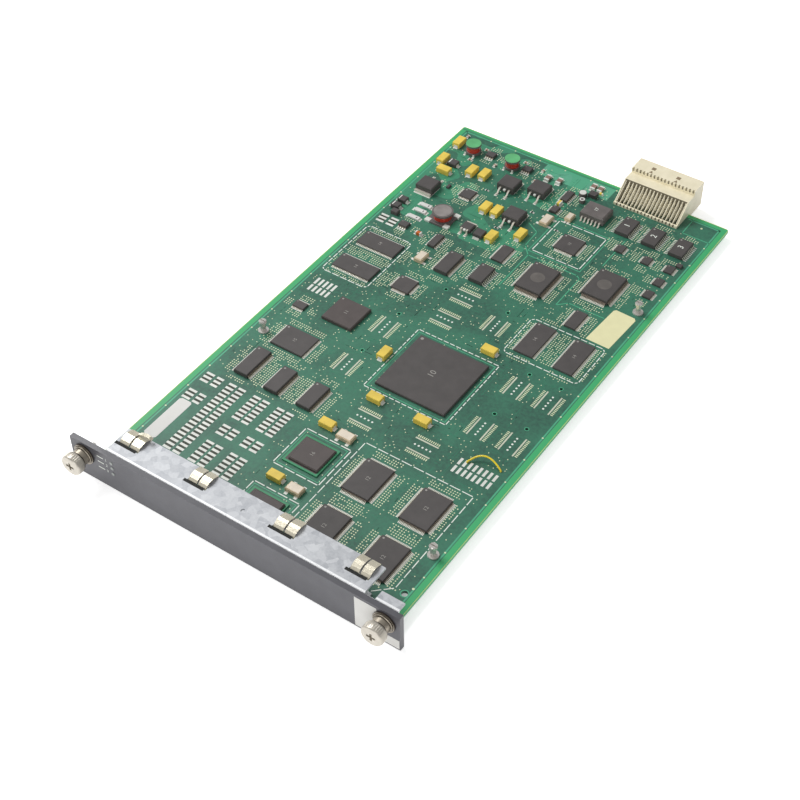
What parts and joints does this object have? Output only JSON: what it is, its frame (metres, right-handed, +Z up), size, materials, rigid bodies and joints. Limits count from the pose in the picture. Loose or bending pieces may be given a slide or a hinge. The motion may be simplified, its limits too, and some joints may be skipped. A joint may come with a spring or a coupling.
{
  "type": "voip media module",
  "caption": "Long green circuit board on a narrow dark front panel with captive thumbscrews, a folded bracket with spring clips, many chips and an ivory rear connector.",
  "frame": {"origin": "bottom centre of the bounding box, on the plane of the front panel's lower edge", "axes": "+Y from the front panel towards the rear connector, +Z up from the component side of the board, +X to the right seen from the front panel"},
  "size_m": [0.1712, 0.3218, 0.0236],
  "materials": {
    "board_green": "gloss",
    "panel_paint": "satin",
    "galvanised": "spangled",
    "screw_metal": "satin",
    "zinc": "satin",
    "spring_steel": "satin",
    "clip_metal": "satin",
    "lens": "gloss",
    "ivory": "matt",
    "contact_metal": "satin",
    "chip_black": "matt",
    "array_black": "matt",
    "lead_metal": "satin",
    "ferrite": "matt",
    "winding_red": "gloss",
    "tantalum": "satin",
    "cream": "satin",
    "resistor": "satin",
    "ceramic_pink": "satin",
    "post_metal": "satin",
    "wire_yellow": "gloss"
  },
  "bodies": {
    "module": {"circuit_board": "board_green", "front_panel": "panel_paint", "status_lenses": "lens", "mounting_bracket": "galvanised", "bracket_screws": "zinc", "bracket_nuts": "zinc", "spring_clip_1": "clip_metal", "spring_clip_2": "clip_metal", "spring_clip_3": "clip_metal", "spring_clip_4": "clip_metal", "left_retainer": "screw_metal", "right_retainer": "screw_metal", "rear_connector": "ivory", "connector_tails": "contact_metal", "main_processor": "chip_black", "second_processor": "array_black", "logic_array_rear": "array_black", "logic_array_front": "array_black", "memory_chips": "chip_black", "network_chip_left": "chip_black", "network_chip_right": "chip_black", "framed_chip": "chip_black", "small_quad_chips": "chip_black", "dynamic_memories": "chip_black", "flash_memory": "chip_black", "bus_chips": "chip_black", "interface_chips": "chip_black", "line_chips": "chip_black", "line_chip_leads": "lead_metal", "small_logic_chips": "chip_black", "small_diodes": "chip_black", "power_diodes": "chip_black", "power_transistors": "chip_black", "power_transistor_tabs": "lead_metal", "power_transistor_leads": "lead_metal", "power_transformer": "ferrite", "transformer_leads": "lead_metal", "drum_inductors": "ferrite", "inductor_windings": "winding_red", "tantalum_capacitors": "tantalum", "crystal_cans": "cream", "shunt_resistors": "resistor", "ceramic_capacitors": "ceramic_pink", "round_parts": "ferrite", "slotted_posts": "post_metal", "jumper_wire": "wire_yellow"},
    "left_slide": {"left_spring": "spring_steel"},
    "left_screw": {"left_thumbscrew": "screw_metal"},
    "right_slide": {"right_spring": "spring_steel"},
    "right_screw": {"right_thumbscrew": "screw_metal"}
  },
  "joints": [
    {"name": "left_push", "type": "slide", "parent": "module", "child": "left_slide", "axis": [0, 1, 0], "range_m": [0, 0.0028], "stiffness_N_per_m": 400, "springref_m": -0.004, "deforming": ["left_spring"]},
    {"name": "left_turn", "type": "hinge", "parent": "left_slide", "child": "left_screw", "pos_m": [-0.0782, -0.154, 0.01365], "axis": [0, 1, 0], "continuous": true},
    {"name": "right_push", "type": "slide", "parent": "module", "child": "right_slide", "axis": [0, 1, 0], "range_m": [0, 0.0028], "stiffness_N_per_m": 400, "springref_m": -0.004, "deforming": ["right_spring"]},
    {"name": "right_turn", "type": "hinge", "parent": "right_slide", "child": "right_screw", "pos_m": [0.0782, -0.154, 0.01365], "axis": [0, 1, 0], "continuous": true}
  ]
}
